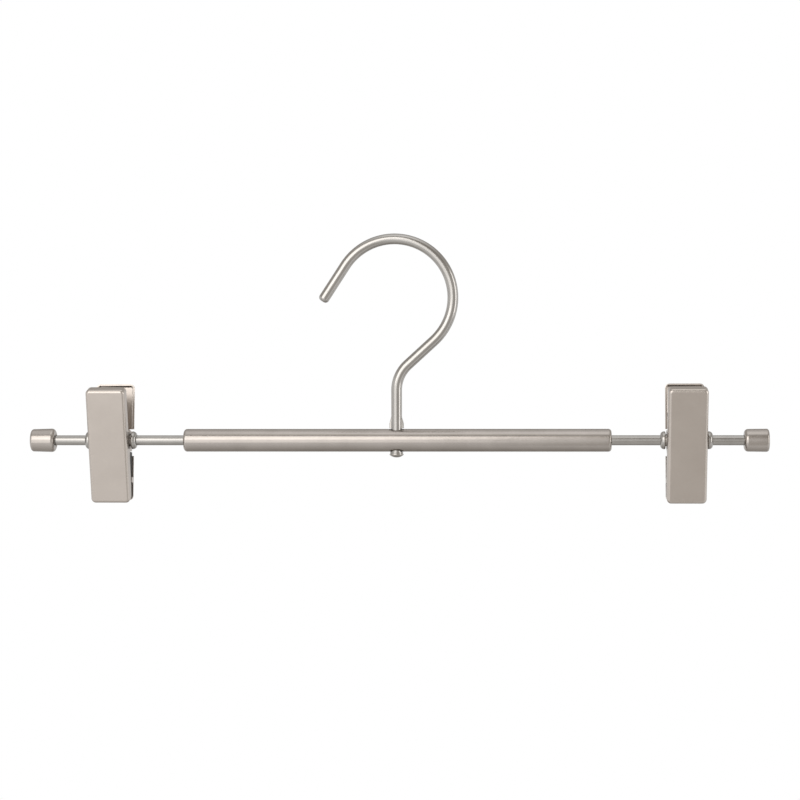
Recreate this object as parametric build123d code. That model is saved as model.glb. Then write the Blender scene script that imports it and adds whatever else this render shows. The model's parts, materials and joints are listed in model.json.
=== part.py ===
from build123d import *
import os
from math import asin, atan2, cos, degrees, hypot, pi, radians, sin, sqrt

# Skirt hanger: a wire hook that swivels in the middle of a straight bar, and two
# sprung clips that slide and swing on the bar's thin rods.
# All sizes are in millimetres, all angles in degrees.
# X runs along the bar, +Y from the front jaws to the rear jaws, +Z up.
# The origin is where the hook sits on a rail. The functions below work from the
# middle of the bar instead, and the last step moves every piece to the origin.

# Clearances
running_fit = 0.06
close_fit = 0.03
swivel_gap = 0.1
stop_gap = 0.3
cut_overrun = 5.0
pick_band = 0.01

# Bar
overall_length = 368.8
tube_length = 213.6
tube_diameter = 11.4
tube_wall = 0.9
tube_end_round = 1.6
tube_mouth_gap = 0.2
rod_diameter = 5.0
rod_grip_length = 32.0
plug_length = 24.0

# End caps
cap_diameter = 11.5
cap_length = 12.4
cap_bore_depth = 9.4
cap_end_round = 1.2
cap_shoulder_round = 1.9
cap_seat_gap = 0.1

# Hook
hook_wire_diameter = 5.4
hook_loop_radius = 29.3
hook_loop_height = 71.2
hook_loop_offset = -1.15
hook_loop_turn = 194.6
hook_neck_radius = 17.2
hook_neck_turn = 47.6
hook_tip_length = 21.1
hook_tip_round_share = 0.7

# Stop wings pinched on the hook's shank
wing_span = 7.3
wing_height = 5.6
wing_shoulder_height = 2.4
wing_thickness = 1.8
wing_edge_round = 0.4

# Washer and peened head under the bar
washer_diameter = 6.5
washer_thickness = 1.0
head_diameter = 7.1
head_height = 1.8
head_rim = 0.5

# Clip sleeve, and the domed collars pressed on its ends
sleeve_diameter = 6.0
sleeve_end_gap = 0.1
collar_diameter = 8.9
collar_tip_diameter = 5.9
collar_length = 2.5
collar_rim = 0.7
collar_bulge = 0.3
collar_lip = 0.5
collar_ear_gap = 0.6

# Jaws
clip_place_share = 0.6108
clip_tilt = 5.5
jaw_lean = 10.0
jaw_width = 19.6
jaw_stand_off = 11.0
jaw_reach_up = 29.0
jaw_reach_down = 29.8
jaw_sheet = 0.8
jaw_bend_radius = 1.6
jaw_corner_radius = 2.2
ear_radius = 5.0
ear_root_round = 3.0
ear_gap = 0.25
jaw_open_angle = 24.0

# Front jaw
front_wall_depth = 6.2
front_edge_gap = 0.9

# Rear jaw
rear_wall_depth = 2.0
relief_above = 6.2
relief_below = 7.4
tab_height = 2.7
tab_depth = 6.8
tab_drop = 19.6

# Pads
pad_fit = 0.1
pad_top_drop = 5.5
pad_face_gap = 0.15
groove_count = 6
groove_width = 1.2
groove_depth = 0.7
groove_margin = 2.4

# Clip spring
spring_wire_diameter = 1.1
spring_sleeve_gap = 0.45
spring_turn_gap = 0.5
spring_full_turns = 6
spring_leg_length = 17.0
spring_leg_gap = 0.2

# Sizes that follow from the ones above
tube_radius = tube_diameter / 2
rod_radius = rod_diameter / 2
wire_radius = hook_wire_diameter / 2
sleeve_radius = sleeve_diameter / 2
collar_foot = jaw_width / 2 + collar_ear_gap
collar_tip = collar_foot + collar_length
sleeve_length = 2 * (collar_tip - collar_lip - sleeve_end_gap)
hook_inner_radius = hook_loop_radius - wire_radius
rail_seat_height = hook_loop_height + sqrt(hook_inner_radius ** 2 - hook_loop_offset ** 2)
jaw_inner_face = jaw_stand_off - jaw_sheet
jaw_inner_bend = jaw_bend_radius - jaw_sheet
rear_ear_width = jaw_width - 2 * (jaw_sheet + ear_gap)
spring_radius = sleeve_radius + spring_sleeve_gap + spring_wire_diameter / 2
spring_pitch = spring_wire_diameter + spring_turn_gap
front = -1
rear = 1

# Where each clip stands between the tube's end and the end cap, a share of its free travel out
inmost_station = tube_length / 2 + stop_gap + collar_tip
outmost_station = overall_length / 2 - cap_length - stop_gap - collar_tip
clip_station = inmost_station + (outmost_station - inmost_station) * clip_place_share


# Helpers
def along_x(radius, x_from, x_to):
    """A round bar along the X axis between two stations."""
    middle = (x_from + x_to) / 2
    return Pos(middle, 0, 0) * Rot(0, 90, 0) * Cylinder(radius, abs(x_to - x_from))


def edges_at(solid, axis, place):
    """The edges of a solid whose middles lie at one place along an axis."""
    return solid.edges().filter_by_position(axis, place - pick_band, place + pick_band)


def slab(points, width):
    """A plate across X, its outline given as (y, z) points."""
    outline = make_face(Polyline(*points, close=True))
    return extrude(Plane.YZ * outline, amount=width / 2, both=True)


# Bar
def centre_tube():
    """The middle tube, its ends rolled in and closed down around the rods."""
    half = tube_length / 2
    tube = along_x(tube_radius, -half, half)
    tube = fillet(edges_at(tube, Axis.X, -half) + edges_at(tube, Axis.X, half), tube_end_round)
    inside = along_x(tube_radius - tube_wall, tube_wall - half, half - tube_wall)
    inner_round = tube_end_round - tube_wall
    if inner_round > 0:
        inner_half = half - tube_wall
        inner_edges = edges_at(inside, Axis.X, -inner_half) + edges_at(inside, Axis.X, inner_half)
        inside = fillet(inner_edges, inner_round)
    mouths = along_x(rod_radius + tube_mouth_gap, -half - cut_overrun, half + cut_overrun)
    hook_hole = Cylinder(wire_radius + running_fit, tube_diameter + cut_overrun)
    return tube - inside - mouths - hook_hole


def tube_plug(side):
    """The bush that holds a rod in the middle of the tube, just inside the tube's end."""
    outer_end = tube_length / 2 - tube_end_round
    inner_end = outer_end - plug_length
    plug = along_x(tube_radius - tube_wall - close_fit, side * inner_end, side * outer_end)
    bore = along_x(rod_radius + close_fit, side * (inner_end - cut_overrun), side * (outer_end + cut_overrun))
    return plug - bore


def rod(side):
    """A thin rod, from inside the tube to inside its end cap."""
    inner_end = tube_length / 2 - rod_grip_length
    outer_end = overall_length / 2 - cap_length + cap_bore_depth - cap_seat_gap
    return along_x(rod_radius, side * inner_end, side * outer_end)


def end_cap(side):
    """The stop cap pressed on the outer end of a rod."""
    outer_end = overall_length / 2
    shoulder = outer_end - cap_length
    cap = along_x(cap_diameter / 2, side * shoulder, side * outer_end)
    cap = fillet(edges_at(cap, Axis.X, side * outer_end), cap_end_round)
    cap = fillet(edges_at(cap, Axis.X, side * shoulder), cap_shoulder_round)
    bore = along_x(
        rod_radius + close_fit,
        side * (shoulder - cut_overrun),
        side * (shoulder + cap_bore_depth),
    )
    return cap - bore


# Hook
head_top = -(tube_radius + swivel_gap + washer_thickness)


def hook_line():
    """The middle line of the wire, in the (x, z) plane, from the head up to the tip."""
    turn = radians(hook_neck_turn)
    neck_side = hook_neck_radius * (1 - cos(turn))
    lean_length = (hook_loop_offset + hook_loop_radius * cos(turn) - neck_side) / sin(turn)
    neck_rise = (hook_neck_radius + hook_loop_radius) * sin(turn) + lean_length * cos(turn)
    shank = Line((0, head_top), (0, hook_loop_height - neck_rise))
    neck = JernArc(shank @ 1, shank % 1, hook_neck_radius, -hook_neck_turn)
    lean = Line(neck @ 1, neck @ 1 + lean_length * (neck % 1))
    loop_up = JernArc(lean @ 1, lean % 1, hook_loop_radius, hook_loop_turn / 2)
    loop_over = JernArc(loop_up @ 1, loop_up % 1, hook_loop_radius, hook_loop_turn / 2)
    tip = Line(loop_over @ 1, loop_over @ 1 + hook_tip_length * (loop_over % 1))
    return [shank, neck, lean, loop_up, loop_over, tip]


def peened_head():
    """The flat-topped head with a domed underside that keeps the shank in the tube."""
    rim_radius = head_diameter / 2
    rim_low = head_top - head_rim
    dome_height = head_height - head_rim
    dome_radius = (rim_radius ** 2 + dome_height ** 2) / (2 * dome_height)
    centre_z = head_top - head_height + dome_radius
    half_way = asin(rim_radius / dome_radius) / 2
    middle = (dome_radius * sin(half_way), centre_z - dome_radius * cos(half_way))
    pole = (0, head_top - head_height)
    sides = Polyline(pole, (0, head_top), (rim_radius, head_top), (rim_radius, rim_low))
    dome = ThreePointArc((rim_radius, rim_low), middle, pole)
    return revolve(Plane.XZ * make_face(sides + dome), Axis.Z)


def hook():
    """The bent wire hook, with its stop wings and its peened head."""
    line = hook_line()
    path = Plane.XZ * Wire(line)
    wire = sweep(Pos(0, 0, head_top) * Circle(wire_radius), path=path)
    tip_end = path @ 1
    tip_face = wire.faces().filter_by(GeomType.PLANE).sort_by_distance(tip_end)[0]
    wire = fillet(tip_face.edges(), wire_radius * hook_tip_round_share)

    wing_foot = tube_radius + stop_gap
    half_span = wing_span / 2
    inside = wire_radius / 2
    outline = Polyline(
        (-half_span, wing_foot),
        (half_span, wing_foot),
        (half_span, wing_foot + wing_shoulder_height),
        (inside, wing_foot + wing_height),
        (-inside, wing_foot + wing_height),
        (-half_span, wing_foot + wing_shoulder_height),
        close=True,
    )
    wings = extrude(Plane.XZ * make_face(outline), amount=wing_thickness / 2, both=True)
    wings = fillet(wings.edges().filter_by(Axis.Y, reverse=True), wing_edge_round)

    return wire + wings + peened_head()


def hook_washer():
    """The flat washer between the peened head and the underside of the tube."""
    middle = head_top + washer_thickness / 2
    washer = Cylinder(washer_diameter / 2, washer_thickness)
    bore = Cylinder(wire_radius + close_fit, washer_thickness + cut_overrun)
    return Pos(0, 0, middle) * (washer - bore)


# Jaws, each modelled upright with its plate square to Y, then leaned about the pivot
def pan(width, facing):
    """A deep sheet metal pan, open towards the other jaw, its plate on the facing side."""
    depth = jaw_stand_off + ear_radius + cut_overrun
    height = jaw_reach_up + jaw_reach_down
    middle_z = (jaw_reach_up - jaw_reach_down) / 2
    plate_y = facing * jaw_stand_off
    block = Pos(0, plate_y - facing * depth / 2, middle_z) * Box(width, depth, height)
    block = fillet(block.edges().filter_by(Axis.Y), jaw_corner_radius)
    block = fillet(edges_at(block, Axis.Y, plate_y), jaw_bend_radius)
    inner_y = facing * jaw_inner_face
    inner_width = width - 2 * jaw_sheet
    inner_height = height - 2 * jaw_sheet
    hollow_depth = depth + cut_overrun
    hollow = Box(inner_width, hollow_depth, inner_height)
    hollow = Pos(0, inner_y - facing * hollow_depth / 2, middle_z) * hollow
    hollow = fillet(hollow.edges().filter_by(Axis.Y), jaw_corner_radius - jaw_sheet)
    hollow = fillet(edges_at(hollow, Axis.Y, inner_y), jaw_inner_bend)
    return block - hollow


def middle_line(z, gap, facing):
    """The y, in a jaw's own upright frame, of a line that keeps a gap from the clip's middle."""
    lean = radians(jaw_lean)
    return facing * (gap - z * sin(lean)) / cos(lean)


def front_outline():
    """The side view of the front jaw's walls: one depth, cut back to the middle at the bottom, with an ear."""
    top = jaw_reach_up + cut_overrun
    bottom = -jaw_reach_down - cut_overrun
    plate = front * (jaw_stand_off + cut_overrun)
    upper_edge = front * (jaw_stand_off - front_wall_depth)
    lean = radians(jaw_lean)
    knee = (front_edge_gap - front * upper_edge * cos(lean)) / sin(lean)
    walls = make_face(
        Polyline(
            (plate, top),
            (upper_edge, top),
            (upper_edge, knee),
            (middle_line(bottom, front_edge_gap, front), bottom),
            (plate, bottom),
            close=True,
        )
    )
    neck = Pos(plate / 2, 0) * Rectangle(abs(plate), 2 * ear_radius)
    outline = walls + neck + Circle(ear_radius)
    roots = [
        v
        for v in outline.vertices()
        if abs(v.X - upper_edge) < pick_band and abs(abs(v.Y) - ear_radius) < pick_band
    ]
    return fillet(roots, ear_root_round)


def pivot_hole():
    """The hole for the sleeve, through everything on the pivot line."""
    reach = jaw_width / 2 + cut_overrun
    return along_x(sleeve_radius + running_fit, -reach, reach)


def front_jaw():
    """The front jaw: a pan whose walls swell into round ears at the pivot."""
    jaw = pan(jaw_width, front) & extrude(Plane.YZ * front_outline(), amount=jaw_width, both=True)
    return jaw - pivot_hole()


def rear_jaw():
    """The rear jaw: a shallow pan with ears set inside the front jaw's, and two pad tabs."""
    edge = jaw_stand_off - rear_wall_depth
    tab_edge = jaw_stand_off - tab_depth
    tab_top = tab_height / 2 - tab_drop
    tab_bottom = -tab_height / 2 - tab_drop
    back = jaw_stand_off + cut_overrun
    top = jaw_reach_up + cut_overrun
    bottom = -jaw_reach_down - cut_overrun
    walls = slab(
        [
            (back, top),
            (edge, top),
            (edge, tab_top),
            (tab_edge, tab_top),
            (tab_edge, tab_bottom),
            (edge, tab_bottom),
            (edge, bottom),
            (back, bottom),
        ],
        jaw_width + cut_overrun,
    )
    plate = pan(jaw_width, rear) & walls
    waist = rear_ear_width - 2 * jaw_bend_radius
    relief_width = (jaw_width - waist) / 2 + cut_overrun
    relief_height = relief_above + relief_below
    relief_z = (relief_above - relief_below) / 2
    for side in (-1, 1):
        relief = Box(relief_width, 2 * back, relief_height)
        plate = plate - Pos(side * (waist / 2 + relief_width / 2), 0, relief_z) * relief
    ear_outline = Circle(ear_radius) + Pos(back / 2, 0) * Rectangle(back, 2 * ear_radius)
    ears = pan(rear_ear_width, rear) & extrude(Plane.YZ * ear_outline, amount=jaw_width, both=True)
    return plate + ears - pivot_hole()


# Pads
def pad(facing):
    """A wedge of rubber that fills a jaw's lower half up to the clip's middle, grooved to grip."""
    top = -pad_top_drop
    bottom = -jaw_reach_down + jaw_sheet + pad_fit
    back = facing * jaw_inner_face
    width = jaw_width - 2 * (jaw_sheet + pad_fit)
    face_top = middle_line(top, pad_face_gap, facing)
    face_bottom = middle_line(bottom, pad_face_gap, facing)
    block = slab([(back, top), (face_top, top), (face_bottom, bottom), (back, bottom)], width)
    corner_edges = edges_at(block, Axis.Z, bottom).filter_by(Axis.Y)
    block = fillet(corner_edges, jaw_corner_radius - jaw_sheet + pad_fit)
    block = fillet(edges_at(block, Axis.Y, back), jaw_inner_bend + pad_fit)
    first = top - groove_margin
    last = bottom + groove_margin
    for index in range(groove_count):
        z = first + (last - first) * index / (groove_count - 1)
        face = middle_line(z, pad_face_gap, facing)
        groove = Rot(-facing * jaw_lean, 0, 0) * Box(width + cut_overrun, 2 * groove_depth, groove_width)
        block = block - Pos(0, face, z) * groove
    return block


# Clip sleeve and spring
def clip_sleeve():
    """The thin sleeve on the rod that the jaws turn on."""
    half = sleeve_length / 2
    sleeve = along_x(sleeve_radius, -half, half)
    return sleeve - along_x(rod_radius + running_fit, -half - cut_overrun, half + cut_overrun)


def collar(side):
    """The domed collar pressed on one end of the sleeve, closed down around the rod at its tip."""
    rim = collar_foot + collar_rim
    seat = collar_tip - collar_lip
    rim_radius = collar_diameter / 2
    tip_radius = collar_tip_diameter / 2
    seat_radius = sleeve_radius + close_fit
    mouth_radius = rod_radius + running_fit
    middle = ((rim + collar_tip) / 2 + collar_bulge, (rim_radius + tip_radius) / 2 + collar_bulge)
    sides = Polyline(
        (collar_tip, tip_radius),
        (collar_tip, mouth_radius),
        (seat, mouth_radius),
        (seat, seat_radius),
        (collar_foot, seat_radius),
        (collar_foot, rim_radius),
        (rim, rim_radius),
    )
    dome = ThreePointArc((rim, rim_radius), middle, (collar_tip, tip_radius))
    made = revolve(Plane.XY * make_face(sides + dome), Axis.X)
    if side < 0:
        made = mirror(made, Plane.YZ)
    return made


def spring_lean():
    """How far each spring leg leans outwards for its end to lie by the jaw's plate."""
    reach = jaw_inner_face - spring_wire_diameter / 2 - spring_leg_gap
    span = hypot(spring_radius, spring_leg_length)
    return asin(reach / span) - atan2(spring_radius, spring_leg_length) + radians(jaw_lean)


def spring_point(turned):
    """A point of the coil's middle line and its direction, after an angle turned from the rear leg."""
    slope = spring_pitch / (2 * pi)
    sweep_angle = 2 * pi * spring_full_turns + pi - 2 * spring_lean()
    angle = -spring_lean() - turned
    place = Vector(
        slope * (turned - sweep_angle / 2),
        spring_radius * cos(angle),
        spring_radius * sin(angle),
    )
    heading = Vector(slope, spring_radius * sin(angle), -spring_radius * cos(angle))
    return place, heading.normalized()


def biarc(start, start_heading, end, end_heading):
    """Two arcs that join two points smoothly with the headings given."""
    chord = end - start
    both = start_heading + end_heading
    spread = 2 * (start_heading.dot(end_heading) - 1)
    along = chord.dot(both)
    root = sqrt(4 * along ** 2 - 4 * spread * chord.dot(chord))
    reach = (2 * along - root) / (2 * spread)
    first_corner = start + start_heading * reach
    second_corner = end - end_heading * reach
    joint = (first_corner + second_corner) * 0.5
    joint_heading = (second_corner - first_corner).normalized()
    return [
        TangentArc(start, joint, tangent=start_heading),
        TangentArc(joint, end, tangent=joint_heading),
    ]


def spring_steps():
    """The angles at which the coil's middle line is divided, half a turn or less apart."""
    sweep_angle = 2 * pi * spring_full_turns + pi - 2 * spring_lean()
    count = 2 * spring_full_turns + 1
    return [sweep_angle * index / count for index in range(count + 1)]


def clip_spring():
    """The torsion spring: a leg by the rear jaw, a coil round the sleeve, a leg by the front jaw."""
    edges = []
    steps = spring_steps()
    place, heading = spring_point(steps[0])
    leg_end = place - heading * spring_leg_length
    edges.append(Line(leg_end, place))
    for turned in steps[1:]:
        next_place, next_heading = spring_point(turned)
        edges.extend(biarc(place, heading, next_place, next_heading))
        place, heading = next_place, next_heading
    edges.append(Line(place, place + heading * spring_leg_length))
    path = Wire(edges)
    profile = Plane(origin=leg_end, z_dir=path % 0) * Circle(spring_wire_diameter / 2)
    return sweep(profile, path=path)


def spring_least_gap():
    """The least gap between neighbouring turns of the coil, measured on points one turn apart."""
    last = spring_steps()[-1]
    samples = 200
    gaps = []
    for index in range(samples):
        turned = (last - 2 * pi) * index / samples
        here, _ = spring_point(turned)
        near = min(
            (spring_point(turned + 2 * pi + 2 * pi * (step / samples - 0.5) / samples)[0] - here).length
            for step in range(samples)
            if turned + 2 * pi <= last
        )
        gaps.append(near - spring_wire_diameter)
    return min(gaps)


# Assembly
def leaned(piece, facing):
    """A jaw's own piece, leaned about the pivot so that the jaws open upwards in a V."""
    return Rot(-facing * jaw_lean, 0, 0) * piece


def clip_pieces():
    """Every piece of one clip, about its own middle on the rod, tilted as it hangs."""
    pieces = {
        "clip_sleeve": clip_sleeve(),
        "rear_jaw": leaned(rear_jaw(), rear),
        "rear_pad": leaned(pad(rear), rear),
        "clip_spring": clip_spring(),
        "front_jaw": leaned(front_jaw(), front),
        "front_pad": leaned(pad(front), front),
    }
    return {name: Rot(clip_tilt, 0, 0) * piece for name, piece in pieces.items()}


def all_pieces():
    """Every piece of the hanger by its name, about the middle of the bar."""
    pieces = {
        "hook": hook(),
        "hook_washer": hook_washer(),
        "centre_tube": centre_tube(),
    }
    clip = clip_pieces()
    for side_name, side in (("left", -1), ("right", 1)):
        pieces[side_name + "_tube_plug"] = tube_plug(side)
        pieces[side_name + "_rod"] = rod(side)
        pieces[side_name + "_end_cap"] = end_cap(side)
        station = Pos(side * clip_station, 0, 0)
        for name, piece in clip.items():
            pieces[side_name + "_" + name] = station * piece
        pieces[side_name + "_outer_collar"] = station * collar(side)
        pieces[side_name + "_inner_collar"] = station * collar(-side)
    return pieces


os.makedirs("parts", exist_ok=True)
for name, piece in all_pieces().items():
    export_step(Pos(0, 0, -rail_seat_height) * piece, "parts/" + name + ".step")

print("bar axis below the rail seat", round(rail_seat_height, 3))
print("clip stands at", round(clip_station, 3))
print("clip slides in by", round(clip_station - inmost_station, 2))
print("clip slides out by", round(outmost_station - clip_station, 2))
print("spring leg lean", round(degrees(spring_lean()), 2))
print("least gap between spring turns", round(spring_least_gap(), 3))
print("jaws open by", jaw_open_angle)
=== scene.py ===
# %% [markdown]
# # A skirt hanger with a swivelling hook and two sprung clips
#
# The real hanger is one straight metal bar. A wire hook stands on its middle and turns in it,
# and a thin rod runs out of each end and carries a clip that slides, swings and pinches. Everything that
# shows is nickel-plated and satin, so what the eye reads is soft reflections and thin bright edges, not
# colour. This lesson builds each piece as a smooth mesh around a frame that already holds the real sizes.
#
# The frame comes first. It says where the bar is and how far each piece reaches, and it is never moved.

# %% Load the frame
import json
from math import asin, atan2, cos, hypot, pi, radians, sin, sqrt

import bmesh
import bpy
from mathutils import Matrix, Vector


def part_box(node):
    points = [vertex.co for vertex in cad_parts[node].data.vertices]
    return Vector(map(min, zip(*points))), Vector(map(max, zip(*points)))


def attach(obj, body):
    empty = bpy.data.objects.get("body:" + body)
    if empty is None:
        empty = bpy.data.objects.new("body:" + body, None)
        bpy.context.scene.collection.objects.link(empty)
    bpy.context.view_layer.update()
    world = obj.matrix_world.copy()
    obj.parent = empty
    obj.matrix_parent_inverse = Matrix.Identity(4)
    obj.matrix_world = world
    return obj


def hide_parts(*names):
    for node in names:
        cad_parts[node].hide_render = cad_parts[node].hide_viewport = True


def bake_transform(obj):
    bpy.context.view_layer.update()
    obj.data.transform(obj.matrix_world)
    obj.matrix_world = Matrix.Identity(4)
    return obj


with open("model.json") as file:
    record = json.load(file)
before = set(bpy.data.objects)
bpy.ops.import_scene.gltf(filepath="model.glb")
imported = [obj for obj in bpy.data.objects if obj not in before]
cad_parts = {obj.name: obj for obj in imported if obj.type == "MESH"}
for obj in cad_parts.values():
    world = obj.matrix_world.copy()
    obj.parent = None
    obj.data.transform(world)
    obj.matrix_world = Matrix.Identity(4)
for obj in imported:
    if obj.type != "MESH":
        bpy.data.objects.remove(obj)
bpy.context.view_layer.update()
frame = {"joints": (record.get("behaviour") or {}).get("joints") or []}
mm = 0.001
both_sides = ("left", "right")

# %% [markdown]
# ## Measure the frame
# Round pieces give their radius by the height of their box, and the bar's pieces all share one axis. A
# size that is read here can't drift away from the frame, which is why it isn't typed again.

# %% Measure the frame
rod_low, rod_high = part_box("right_rod")
tube_low, tube_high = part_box("centre_tube")
bar_height = (rod_low.z + rod_high.z) / 2
rod_radius = (rod_high.z - rod_low.z) / 2
tube_radius = (tube_high.z - tube_low.z) / 2
tube_half = (tube_high.x - tube_low.x) / 2
places = {joint["name"]: joint.get("pos_m") for joint in frame["joints"]}
clip_places = {side: Vector(places[side + "_clip_swing"]) for side in both_sides}
print("bar axis at", round(bar_height, 5), "rod radius", round(rod_radius, 5))
print("tube radius", round(tube_radius, 5), "half its length", round(tube_half, 5))
print("clips at", {side: [round(v, 4) for v in place] for side, place in clip_places.items()})

# %% [markdown]
# ## The camera
# The photograph looks at the hanger level, from right of its middle: that is why the left clip shows its
# side and the right one hardly does. The distance matters more than the lens, because it sets how much of
# each clip's side can be seen, so it is chosen first. The lens then fills the picture with the bar.

# %% Camera
sensor_width = 36.0
lens_length = 98.5
eye_side = 67.7 * mm
eye_back = 1090 * mm
eye_rise = 20 * mm
aim_side = 1.7 * mm
aim_rise = 20.1 * mm
eye_roll = radians(-0.065)

eye = Vector((eye_side, -eye_back, bar_height + eye_rise))
aim = Vector((aim_side, 0, bar_height + aim_rise))
camera_data = bpy.data.cameras.new("photo_camera")
camera_data.sensor_width = sensor_width
camera_data.lens = lens_length
camera = bpy.data.objects.new("photo_camera", camera_data)
camera.location = eye
camera.rotation_mode = "QUATERNION"
looking = (aim - eye).to_track_quat("-Z", "Y")
camera.rotation_quaternion = looking @ Matrix.Rotation(eye_roll, 3, "Z").to_quaternion()
bpy.context.scene.collection.objects.link(camera)
bpy.context.scene.camera = camera
print("camera is", round((aim - eye).length, 3), "m away")

# %% [markdown]
# ## Shader sums written as sums
# A finish is mostly arithmetic on patterns. Blender wants a Math node for every plus and times, so one
# small class wraps a node's output and adds those nodes when Python meets an operator. Every other node
# comes from one method that sets its options first and then its sockets.

# %% Shader helper
class Signal:
    """The output of a shader node; sums on it add Math nodes."""

    def __init__(self, tree, socket):
        self.tree = tree
        self.socket = socket

    @classmethod
    def node(cls, tree, kind, settings=None, inputs=None, output=None):
        """Adds a node, sets its options, then its sockets, and returns one of its outputs."""
        made = tree.nodes.new(kind)
        for key, value in (settings or {}).items():
            if key == "stops":
                ramp = made.color_ramp.elements
                while len(ramp) < len(value):
                    ramp.new(0.5)
                for stop, (place, colour) in zip(ramp, value):
                    stop.position = place
                    stop.color = colour
            else:
                setattr(made, key, value)
        for key, value in (inputs or {}).items():
            if isinstance(key, int):
                socket = made.inputs[key]
            else:
                socket = next(s for s in made.inputs if s.name == key and s.enabled)
            if isinstance(value, Signal):
                tree.links.new(value.socket, socket)
            else:
                socket.default_value = value
        if output is None:
            return cls(tree, next((s for s in made.outputs if s.enabled), None))
        return cls(tree, next(s for s in made.outputs if s.name == output and s.enabled))

    def maths(self, operation, first, second):
        return Signal.node(self.tree, "ShaderNodeMath", {"operation": operation}, {0: first, 1: second})

    def __add__(self, other):
        return self.maths("ADD", self, other)

    __radd__ = __add__

    def __sub__(self, other):
        return self.maths("SUBTRACT", self, other)

    def __rsub__(self, other):
        return self.maths("SUBTRACT", other, self)

    def __mul__(self, other):
        return self.maths("MULTIPLY", self, other)

    __rmul__ = __mul__


def linear(hex_colour):
    """A colour written as on a paint card, such as b8aea6, in the linear values that shaders use."""
    channels = [int(hex_colour[place:place + 2], 16) / 255 for place in (0, 2, 4)]
    return tuple(c / 12.92 if c <= 0.04045 else ((c + 0.055) / 1.055) ** 2.4 for c in channels) + (1.0,)


def new_material(name):
    """An empty material and its node tree."""
    material = bpy.data.materials.new(name)
    material.use_nodes = True
    material.node_tree.nodes.clear()
    return material, material.node_tree


def close_material(tree, shader):
    """Joins the finished shader to the material's output."""
    Signal.node(tree, "ShaderNodeOutputMaterial", None, {"Surface": shader})


def mixed(tree, share, first, second, blend="MIX"):
    """A colour between two others, or with MULTIPLY the first one dimmed by the second."""
    settings = {"data_type": "RGBA", "blend_type": blend}
    return Signal.node(tree, "ShaderNodeMix", settings, {"Factor": share, "A": first, "B": second})


def ramped(tree, value, start, end, shape="LINEAR"):
    """0 to 1 as a value goes from its start to its end."""
    inputs = {"Value": value, "From Min": start, "From Max": end}
    return Signal.node(tree, "ShaderNodeMapRange", {"interpolation_type": shape}, inputs)


def axis_of(tree, vector, axis):
    """One number of a vector."""
    return Signal.node(tree, "ShaderNodeSeparateXYZ", None, {"Vector": vector}, axis)


def own_place(tree):
    """Where a point of a piece is, in metres."""
    return Signal.node(tree, "ShaderNodeTexCoord", None, None, "Object")


def noise(tree, size, detail):
    """Noise on a piece's own coordinates, with blots of about a size in metres."""
    inputs = {"Vector": own_place(tree), "Scale": 1 / size, "Detail": detail}
    return Signal.node(tree, "ShaderNodeTexNoise", None, inputs, "Fac")


def bumpy(tree, height, strength, distance, coarser=None):
    """The normal of a bumpy face, on top of a coarser one where that is given."""
    inputs = {"Height": height, "Strength": strength, "Distance": distance}
    if coarser:
        inputs["Normal"] = coarser
    return Signal.node(tree, "ShaderNodeBump", None, inputs, "Normal")


print("shader helper ready")

# %% [markdown]
# ## The studio
# Metal shows its surroundings, so the surroundings are designed before the metal. A white backdrop
# stands all round, with a soft grey ring above the height of the eye: that ring draws the darker line
# along the top of the tube. The front right part of the room is duller, which is why the right clip
# and the right half of the tube are darker than the left ones. The camera and the reflections see the
# same room, so what the metal shows is the room that it hangs in.
#
# The floor is far below, as the hanger hangs. It is pale below and behind the hanger and fades to the
# backdrop's white further out, so that no horizon shows behind the bar.

# %% Studio: room and floor
room_strength = 0.62
floor_drop = 500 * mm
floor_half = 6.0
floor_near = 0.05
floor_far = 0.95
floor_dim_back = 350 * mm
backdrop_tone = linear("ffffff")
dim_ring_tone = linear("cdcac6")
ring_places = (0.60, 0.76, 0.87, 0.96)
dim_side_tone = linear("d6d3cf")
floor_tone = linear("c2beb9")
dim_from = 0.02
dim_full = 0.14
dim_front_from = 0.45
dim_front_full = 0.7


def studio_tones(tree, height):
    """The backdrop's colour by height: white, then a dimmer ring that fades in and out, then white."""
    tones = (backdrop_tone, dim_ring_tone, dim_ring_tone, backdrop_tone)
    stops = [(0.0, backdrop_tone)] + list(zip(ring_places, tones))
    return Signal.node(tree, "ShaderNodeValToRGB", {"stops": stops}, {"Fac": height}, "Color")


def seen_directly(tree):
    """1 for the rays that show the room: from the camera, off metal and through glass."""
    seen = [
        Signal.node(tree, "ShaderNodeLightPath", None, None, kind)
        for kind in ("Is Camera Ray", "Is Glossy Ray", "Is Transmission Ray")
    ]
    return seen[0] + seen[1] + seen[2]


def dimmed_on_the_right(tree, direction, tone):
    """A tone of the room, duller in its front right part, by the direction from the hanger."""
    rightward = axis_of(tree, direction, "X")
    forward = 0.0 - axis_of(tree, direction, "Y")
    right_part = ramped(tree, rightward, dim_from, dim_full, "SMOOTHSTEP")
    front_part = ramped(tree, forward, dim_front_from, dim_front_full, "SMOOTHSTEP")
    return mixed(tree, right_part * front_part, tone, dim_side_tone, "MULTIPLY")


def build_room():
    world = bpy.data.worlds.new("studio_room")
    world.use_nodes = True
    tree = world.node_tree
    tree.nodes.clear()
    direction = Signal.node(tree, "ShaderNodeTexCoord", None, None, "Generated")
    height = axis_of(tree, direction, "Z") * 0.5 + 0.5
    tones = dimmed_on_the_right(tree, direction, studio_tones(tree, height))
    shown, lighting = [
        Signal.node(tree, "ShaderNodeBackground", None, {"Color": tone, "Strength": strength})
        for tone, strength in ((tones, 1.0), (backdrop_tone, room_strength))
    ]
    both = Signal.node(tree, "ShaderNodeMixShader", None, {0: seen_directly(tree), 1: lighting, 2: shown})
    Signal.node(tree, "ShaderNodeOutputWorld", None, {"Surface": both})
    bpy.context.scene.world = world


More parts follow.
